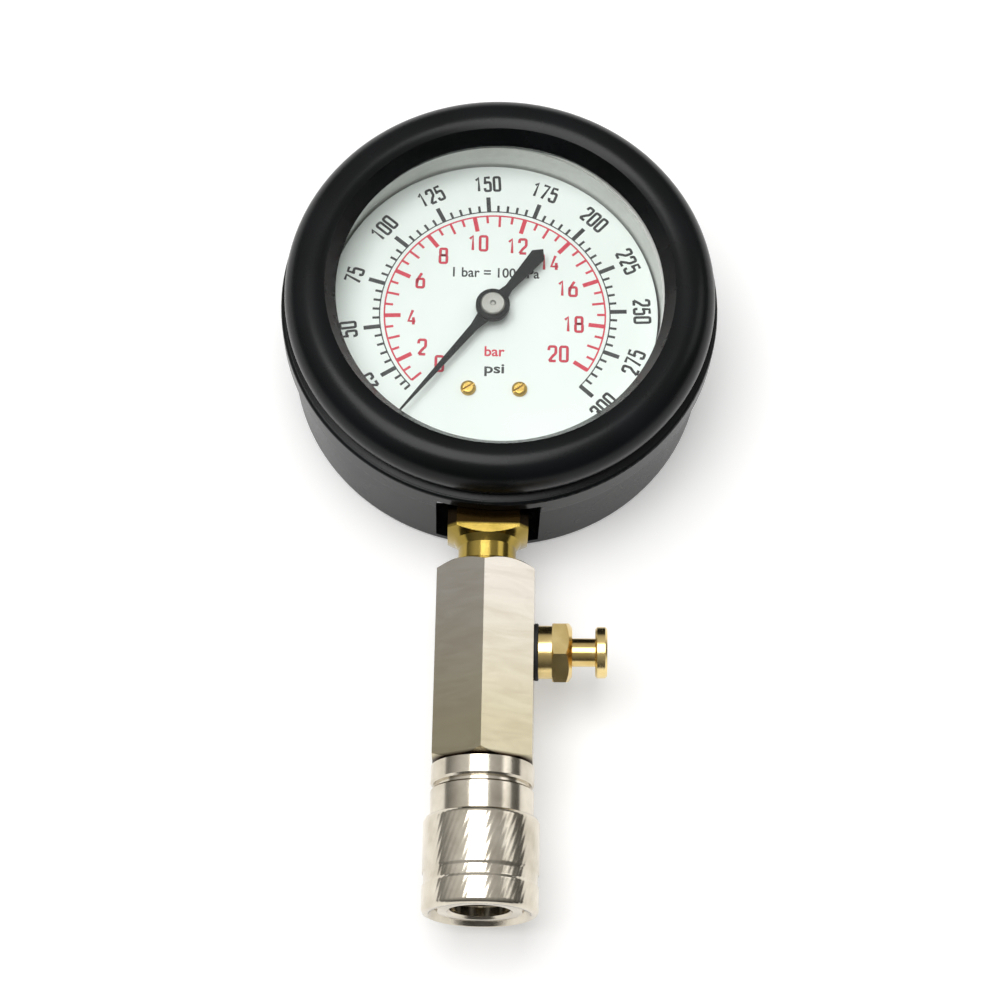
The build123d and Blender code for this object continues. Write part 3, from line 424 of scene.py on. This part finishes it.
def set_floor():
    """A plain pale floor that keeps the object's shadow. It glows a little where it is seen."""
    mesh = bmesh.new()
    bmesh.ops.create_grid(mesh, x_segments=1, y_segments=1, size=3.0)
    data = bpy.data.meshes.new("floor")
    mesh.to_mesh(data)
    mesh.free()
    floor = bpy.data.objects.new("floor", data)
    bpy.context.scene.collection.objects.link(floor)
    material, tree, shader, _ = new_material("floor_paper")
    seen = rays(tree, "Is Camera Ray", "Is Glossy Ray", "Is Transmission Ray")
    surface = {
        "Base Color": hex_colour("#eaeaea"),
        "Roughness": 1.0,
        "Emission Color": hex_colour("#ffffff"),
        "Emission Strength": maths(tree, "MULTIPLY", seen, floor_glow),
    }
    fill(tree, shader, surface)
    data.materials.append(material)


# Angles of the scales, in degrees from +X. The psi scale is nearly even above its knee, and
# closes up below it
psi_knee = 25
psi_knee_angle = 212.5
psi_slope = 0.9673
psi_slope_easing = 0.000153
psi_low_span = 25.8
psi_low_easing = 0.4
bar_zero_angle = 236.3
bar_slope = 13.453

# Values at the ends of the scales, steps of the psi strokes, and the last psi number whose feet
# face the middle
psi_first = 10
psi_last = 300
psi_minor = 5
psi_major = 25
psi_last_facing_in = 250
bar_first = 1
bar_last = 20

# Each scale's line runs this far past its last stroke, and is cut in steps this long, in degrees
line_overrun = 0.6
arc_step = 2

# Dial print, in millimetres on the dial's face. A digit has a width, a height and a stroke
print_middle = (0.5, -0.4)
print_thick = 0.02
psi_line_r = 24.1
psi_line_wide = 0.25
psi_major_r = 27.6
psi_minor_r = 25.6
psi_number_r = 30.8
psi_digit = (1.8, 3.8, 0.58)
psi_pitch = 2.0
bar_line_r = 23.1
bar_line_wide = 0.34
bar_major_r = 19.7
bar_whole_r = 20.5
bar_half_r = 21.4
bar_digit = (2.05, 3.9, 0.58)
bar_pitch = 2.4
bar_number_places = (
    (-11.3, -11.8), (-15.0, -8.1), (-17.3, -1.3), (-15.8, 7.4), (-11.1, 13.3), (-3.9, 16.5),
    (4.4, 16.0), (11.2, 12.3), (15.1, 6.3), (16.4, -2.0), (13.3, -8.9),
)
major_wide = 0.9
minor_wide = 0.52

# Strokes of each digit in a box one wide and one high: straight runs, bends or closed rings
digit_strokes = {
    "0": [
        (
            "ring",
            [
                (0.5, 1), (1, 1), (1, 0.7), (1, 0.3), (1, 0),
                (0.5, 0), (0, 0), (0, 0.3), (0, 0.7), (0, 1),
            ],
        ),
    ],
    "1": [("straight", [(0.15, 0.8), (0.6, 1), (0.6, 0)])],
    "2": [
        (
            "bend",
            [
                (0, 0.74), (0, 1), (0.5, 1), (1, 1),
                (1, 0.74), (1, 0.52), (0.5, 0.33), (0.05, 0),
            ],
        ),
        ("straight", [(0.05, 0), (1, 0)]),
    ],
    "3": [
        (
            "bend",
            [(0, 0.76), (0, 1), (0.5, 1), (0.95, 1), (0.95, 0.76), (0.95, 0.54), (0.4, 0.54)],
        ),
        ("bend", [(0.4, 0.54), (1, 0.54), (1, 0.28), (1, 0), (0.5, 0), (0, 0), (0, 0.25)]),
    ],
    "4": [("straight", [(0.6, 1), (0, 0.24), (1, 0.24)]), ("straight", [(0.72, 0), (0.72, 0.5)])],
    "5": [
        ("straight", [(0.95, 1), (0.1, 1), (0.06, 0.52)]),
        (
            "bend",
            [
                (0.06, 0.52), (0.15, 0.64), (0.5, 0.64), (1, 0.64), (1, 0.32),
                (1, 0), (0.5, 0), (0, 0), (0, 0.22),
            ],
        ),
    ],
    "6": [
        ("ring", [(0.5, 0.6), (1, 0.6), (1, 0.3), (1, 0), (0.5, 0), (0, 0), (0, 0.3), (0, 0.6)]),
        ("bend", [(0.7, 1), (0.1, 0.62), (0.02, 0.3)]),
    ],
    "7": [("straight", [(0, 1), (1, 1), (0.35, 0)])],
    "8": [
        (
            "ring",
            [
                (0.5, 1), (0.95, 1), (0.95, 0.77), (0.95, 0.54),
                (0.5, 0.54), (0.05, 0.54), (0.05, 0.77), (0.05, 1),
            ],
        ),
        (
            "ring",
            [
                (0.5, 0.54), (1, 0.54), (1, 0.28), (1, 0),
                (0.5, 0), (0, 0), (0, 0.28), (0, 0.54),
            ],
        ),
    ],
}


def psi_angle(value):
    """Where a psi value stands on the dial, in degrees. The scale closes up below 25 psi."""
    if value < psi_knee:
        short = 1 - value / psi_knee
        return psi_knee_angle + psi_low_span * short * (1 - psi_low_easing * short)
    above = value - psi_knee
    return psi_knee_angle - psi_slope * above + psi_slope_easing * above ** 2


def bar_angle(value):
    """Where a bar value stands on the dial, in degrees."""
    return bar_zero_angle - bar_slope * value


def dial_point(radius_mm, angle):
    """A point on the face of the dial, in metres, about the middle of the print."""
    x = print_middle[0] + radius_mm * cos(radians(angle))
    y = print_middle[1] + radius_mm * sin(radians(angle))
    return Vector((x * MM, y * MM, dial_front))


def add_tick(mesh, inner_mm, outer_mm, wide_mm, angle):
    """A short printed stroke, pointing at the middle of the print."""
    middle = dial_point((inner_mm + outer_mm) / 2, angle)
    size = Matrix.Diagonal(((outer_mm - inner_mm) * MM, wide_mm * MM, print_thick * MM, 1))
    turn = Matrix.Rotation(radians(angle), 4, "Z")
    lift = Matrix.Translation((0, 0, print_thick * MM / 2))
    bmesh.ops.create_cube(mesh, size=1.0, matrix=Matrix.Translation(middle) @ lift @ turn @ size)


def add_arc(mesh, radius_mm, wide_mm, start, end):
    """A thin printed arc, from one angle clockwise to another."""
    inner = dial_point(radius_mm - wide_mm / 2, start)
    outer = dial_point(radius_mm + wide_mm / 2, start)
    rise = Vector((0, 0, print_thick * MM))
    corners = [mesh.verts.new(point) for point in (inner, outer, outer + rise, inner + rise)]
    face = mesh.faces.new(corners)
    middle = (print_middle[0] * MM, print_middle[1] * MM, dial_front)
    bmesh.ops.spin(
        mesh,
        geom=[face] + list(face.edges) + corners,
        cent=middle,
        axis=(0, 0, 1),
        angle=radians(end - start),
        steps=int(abs(end - start) / arc_step),
        use_duplicate=False,
    )
    bmesh.ops.recalc_face_normals(mesh, faces=mesh.faces)


def psi_scale(ink):
    """Black line with a long stroke each 25 psi and a short one each 5 psi."""
    mesh = bmesh.new()
    for value in range(psi_first, psi_last + 1, psi_minor):
        major = value % psi_major == 0
        outer = psi_major_r if major else psi_minor_r
        add_tick(mesh, psi_line_r, outer, major_wide if major else minor_wide, psi_angle(value))
    end = psi_angle(psi_last) - line_overrun
    add_arc(mesh, psi_line_r, psi_line_wide, psi_angle(psi_first), end)
    finish_piece(mesh, "psi_scale", ink, "gauge")


def bar_scale(ink):
    """Red line inside the black one, with strokes inwards each 2, 1 and 0.5 bar."""
    mesh = bmesh.new()
    for half in range(2 * bar_first, 2 * bar_last + 1):
        value = half / 2
        major = half % 4 == 0
        whole = half % 2 == 0
        inner = bar_major_r if major else bar_whole_r if whole else bar_half_r
        add_tick(mesh, inner, bar_line_r, major_wide if major else minor_wide, bar_angle(value))
    end = bar_angle(bar_last) - line_overrun
    add_arc(mesh, bar_line_r, bar_line_wide, bar_angle(bar_first), end)
    finish_piece(mesh, "bar_scale", ink, "gauge")


def text_mesh(body, high_mm, wide_mm, weight):
    """A word as a flat solid mesh about the origin. Weight thickens its strokes, in font units."""
    data = bpy.data.curves.new("word", "FONT")
    data.body = body
    data.size = 1.0
    data.offset = weight
    data.resolution_u = 4
    data.fill_mode = "BOTH"
    data.extrude = 0.5
    word = bpy.data.objects.new("word", data)
    bpy.context.scene.collection.objects.link(word)
    bpy.context.view_layer.update()
    graph = bpy.context.evaluated_depsgraph_get()
    mesh = bpy.data.meshes.new_from_object(word.evaluated_get(graph))
    bpy.data.objects.remove(word)
    bpy.data.curves.remove(data)
    low = [min(v.co[i] for v in mesh.vertices) for i in range(2)]
    high = [max(v.co[i] for v in mesh.vertices) for i in range(2)]
    centre = Matrix.Translation((-(low[0] + high[0]) / 2, -(low[1] + high[1]) / 2, 0.5))
    sizes = (wide_mm / (high[0] - low[0]), high_mm / (high[1] - low[1]), print_thick)
    mesh.transform(Matrix.Diagonal((*(size * MM for size in sizes), 1)) @ centre)
    return mesh


def print_frame(place_mm, turn=0):
    """Where a word or number goes. Its place is measured from the middle of the print."""
    x = (print_middle[0] + place_mm[0]) * MM
    y = (print_middle[1] + place_mm[1]) * MM
    return Matrix.Translation((x, y, dial_front)) @ Matrix.Rotation(radians(turn), 4, "Z")


def add_word(mesh, body, size_mm, weight, place_mm):
    """Prints a word, width by height."""
    word = text_mesh(body, size_mm[1], size_mm[0], weight)
    word.transform(print_frame(place_mm))
    mesh.from_mesh(word)
    bpy.data.meshes.remove(word)


def digit_mesh(digit, wide_mm, high_mm, stroke_mm):
    """A digit of narrow even strokes with round ends, as a flat mesh about its middle."""
    data = bpy.data.curves.new("digit", "CURVE")
    data.dimensions = "3D"
    data.bevel_depth = stroke_mm / 2 * MM
    data.bevel_resolution = 1
    data.use_fill_caps = True
    for kind, points in digit_strokes[digit]:
        spline = data.splines.new("POLY" if kind == "straight" else "NURBS")
        spline.points.add(len(points) - 1)
        for point, (x, y) in zip(spline.points, points):
            across = (x - 0.5) * (wide_mm - stroke_mm) * MM
            upwards = (y - 0.5) * (high_mm - stroke_mm) * MM
            point.co = (across, upwards, 0, 1)
        if kind != "straight":
            spline.order_u = 3
            spline.resolution_u = 6
            spline.use_cyclic_u = kind == "ring"
            spline.use_endpoint_u = kind == "bend"
    shape = bpy.data.objects.new("digit", data)
    mesh = bpy.data.meshes.new_from_object(shape)
    bpy.data.objects.remove(shape)
    bpy.data.curves.remove(data)
    flat = Matrix.Diagonal((1, 1, print_thick / stroke_mm, 1))
    mesh.transform(Matrix.Translation((0, 0, print_thick * MM / 2)) @ flat)
    return mesh


def add_number(mesh, value, digit_mm, pitch_mm, place_mm, turn=0):
    """Prints a number, digit by digit."""
    text = str(value)
    whole = print_frame(place_mm, turn)
    for number, digit in enumerate(text):
        flat = digit_mesh(digit, *digit_mm)
        along = (number - (len(text) - 1) / 2) * pitch_mm * MM
        flat.transform(whole @ Matrix.Translation((along, 0, 0)))
        mesh.from_mesh(flat)
        bpy.data.meshes.remove(flat)


def psi_numbers(ink):
    """Black numbers round the outside, feet to the middle. The last two stand the other way."""
    mesh = bmesh.new()
    for value in range(psi_major, psi_last + 1, psi_major):
        angle = psi_angle(value)
        turn = angle - 90 if value <= psi_last_facing_in else angle + 90
        spot = (psi_number_r * cos(radians(angle)), psi_number_r * sin(radians(angle)))
        add_number(mesh, value, psi_digit, psi_pitch, spot, turn)
    finish_piece(mesh, "psi_numbers", ink, "gauge")


def bar_numbers(ink):
    """Red upright numbers inside the scale, each where the printer placed it."""
    mesh = bmesh.new()
    for number, spot in enumerate(bar_number_places):
        add_number(mesh, 2 * number, bar_digit, bar_pitch, spot)
    finish_piece(mesh, "bar_numbers", ink, "gauge")


def unit_words(black, red):
    """The units and the line that relates them."""
    mesh = bmesh.new()
    add_word(mesh, "1 bar = 100 kPa", size_mm=(18.2, 2.3), weight=0.016, place_mm=(0.1, 9.6))
    add_word(mesh, "psi", size_mm=(4.1, 2.8), weight=0.02, place_mm=(0.1, -13.0))
    finish_piece(mesh, "black_words", black, "gauge")
    mesh = bmesh.new()
    add_word(mesh, "bar", size_mm=(4.2, 2.3), weight=0.02, place_mm=(0.1, -8.7))
    finish_piece(mesh, "red_words", red, "gauge")


# Knurl of the coupler sleeve: its pitch, depth and rows of points in millimetres, its lean in
# degrees, the sharpness of its teeth, and the steps of the mesh round the sleeve
knurl_pitch = 1.15
knurl_lean = 22.0
knurl_depth = 0.022
knurl_rows = 0.3
knurl_sharpness = 1.5
sleeve_steps = 384

# Radii inside the sleeve, and places along it from its back end, in millimetres. The grip stops
# short of the front by grip_end, and points within grip_margin of the outside belong to it
mouth_r = 9.8
land_r = 8.85
spring_room_r = 10.35
land_start = 9.6
land_end = 16.0
groove_start = 10.9
groove_end = 13.2
groove_depth = 0.28
grip_end = 1.1
grip_margin = 0.05

# Rounding of its two outer edges: steps in from the outside, against steps in from the end
edge_round = ((0.9, 0.0), (0.3, 0.25), (0.0, 0.9))


def knurled_sleeve(material):
    """The coupler's sleeve with its slanting grip cut in, in place of the plain one."""
    low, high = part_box("coupler_sleeve")
    back = high.y / MM
    front = low.y / MM
    outer = (high.x - low.x) / 2 / MM
    # Half section: from the spring's room over the rounded edge to the grip
    profile = [(spring_room_r, back)]
    profile += [(outer - inset, back - step) for inset, step in edge_round]
    row = back - edge_round[-1][1]
    while row > front + grip_end:
        row -= knurl_rows
        profile.append((outer, row))
    profile += [(outer - inset, front + step) for inset, step in reversed(edge_round)]
    profile += [(mouth_r, front), (mouth_r, back - land_end), (land_r, back - land_end)]
    profile += [(land_r, back - land_start), (spring_room_r, back - land_start)]
    mesh = bmesh.new()
    verts = [mesh.verts.new((r * MM, y * MM, stem_axis_z)) for r, y in profile]
    edges = [mesh.edges.new((verts[i - 1], verts[i])) for i in range(len(verts))]
    bmesh.ops.spin(
        mesh,
        geom=verts + edges,
        cent=(0, 0, stem_axis_z),
        axis=(0, 1, 0),
        angle=2 * pi,
        steps=sleeve_steps,
        use_merge=True,
    )
    bmesh.ops.remove_doubles(mesh, verts=mesh.verts, dist=0.000001)
    teeth = round(2 * pi * outer / knurl_pitch)
    slope = tan(radians(knurl_lean)) / outer
    for vert in mesh.verts:
        x, y, z = vert.co.x / MM, vert.co.y / MM, (vert.co.z - stem_axis_z) / MM
        radius = (x * x + z * z) ** 0.5
        if abs(radius - outer) > grip_margin:
            continue
        turn = Vector((x, z)).angle_signed(Vector((1, 0)))
        wave = 0.5 + 0.5 * cos(teeth * (turn + slope * (y - back)))
        cut = knurl_depth * wave ** knurl_sharpness
        if back - groove_end < y < back - groove_start:
            cut += groove_depth
        scale = (radius - cut) / radius
        vert.co.x *= scale
        vert.co.z = stem_axis_z + z * scale * MM
    bmesh.ops.recalc_face_normals(mesh, faces=mesh.faces)
    for face in mesh.faces:
        face.smooth = True
    finish_piece(mesh, "knurled_sleeve", material, "coupler_sleeve", ("coupler_sleeve",))


# Mesh of the round wire: steps along each turn and points round the wire
coil_steps = 28
wire_points = 10


def coil_spring(name, replaced, axis, turns, wire_mm, material):
    """A spring of round wire in place of a plain one.
    """
    low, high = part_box(replaced)
    wire = wire_mm * MM
    along = Vector(axis)
    middle = (low + high) / 2
    length = (high - low).dot(along)
    radius = (high.z - low.z - wire) / 2
    start = middle - along * (length - wire) / 2 + Vector((0, 0, radius))
    section = Matrix((along, (0, 0, 1), along.cross(Vector((0, 0, 1))))).transposed().to_4x4()
    mesh = bmesh.new()
    ring = bmesh.ops.create_circle(
        mesh, segments=wire_points, radius=wire / 2, matrix=Matrix.Translation(start) @ section
    )["verts"]
    steps = int(coil_steps * turns)
    bmesh.ops.spin(
        mesh,
        geom=ring + list(mesh.edges),
        cent=middle,
        axis=along,
        dvec=along * (length - wire) / steps,
        angle=2 * pi * turns,
        steps=steps,
    )
    bmesh.ops.holes_fill(mesh, edges=mesh.edges)
    bmesh.ops.recalc_face_normals(mesh, faces=mesh.faces)
    for face in mesh.faces:
        face.smooth = len(face.verts) == 4
    piece = finish_piece(mesh, name, material, "gauge", (replaced,))
    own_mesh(piece)


set_camera()
set_lights()
set_floor()

rubber = moulded_rubber()
seal = seal_rubber()
# The socket's brass carries painted shade: a dark band next to the boot, where the boot's lip
# shades it
brass = turned_metal(
    "turned_brass", "#8f7b38", "#b0984e", roughness=0.14, axis="Y",
    painted_shade=("#221808", -0.0483, -0.0478),
)
valve_brass = turned_metal("turned_valve_brass", "#d6b872", "#f4dc9e", roughness=0.2, axis="X")
plate_brass = rolled_metal("rolled_brass", "#b08f45", "#cfae62", roughness=0.35)
copper = rolled_metal("rolled_copper", "#a8643f", "#c98660", roughness=0.4)
spring_steel = rolled_metal("spring_steel", "#8b8b88", "#b4b4b0", roughness=0.3)
cap_steel = turned_metal("turned_steel", "#85847f", "#a3a29d", roughness=0.5, axis="Z")
coupler_nickel = turned_metal("turned_nickel", "#c1b8a7", "#e4dccd", roughness=0.16, axis="Y")
black_ink = dial_ink("black_ink", "#080b0b", "#131818")
red_ink = dial_ink("red_ink", "#cb2740", "#d63a50")

dress(rubber, "rubber_boot")
dress(seal, "valve_gasket", "valve_seal", "coupler_seal")
dress(painted_steel(), "case", "bezel_ring", "window_gasket")
dress(clear_glass(), "window")
dress(dial_enamel(), "dial")
dress(pointer_black(), "pointer")
dress(cap_steel, "pointer_cap")
dress(brass, "gauge_socket", "coupler_pin")
dress(valve_brass, "valve_body", "valve_button")
dress(
    plate_brass,
    "dial_screws", "movement_screw", "plate_screws", "dial_spacers", "lower_plate", "upper_plate",
    "plate_pillars", "sector_gear", "tube_tip", "pressure_tube", "hairspring_post",
    "hairspring_collet", "hairspring",
)
dress(copper, "socket_washer")
dress(
    spring_steel,
    "case_screws", "pinion_arbor", "sector_arbor", "tail_pin", "tip_pin", "link", "locking_balls",
    "snap_ring", "pin_spring", "sleeve_spring", "valve_spring",
)
dress(milled_nickel(), "adapter_body")
dress(coupler_nickel, "coupler_body", "coupler_sleeve")

psi_scale(black_ink)
bar_scale(red_ink)
psi_numbers(black_ink)
bar_numbers(red_ink)
unit_words(black_ink, red_ink)
knurled_sleeve(coupler_nickel)
coil_spring(
    "valve_coil", "valve_spring", axis=(1, 0, 0), turns=4, wire_mm=0.5,
    material=spring_steel,
)
coil_spring(
    "sleeve_coil", "sleeve_spring", axis=(0, 1, 0), turns=2.5, wire_mm=0.7,
    material=spring_steel,
)
coil_spring(
    "pin_coil", "pin_spring", axis=(0, 1, 0), turns=5, wire_mm=0.7,
    material=spring_steel,
)

bpy.context.scene.view_settings.view_transform = "Standard"
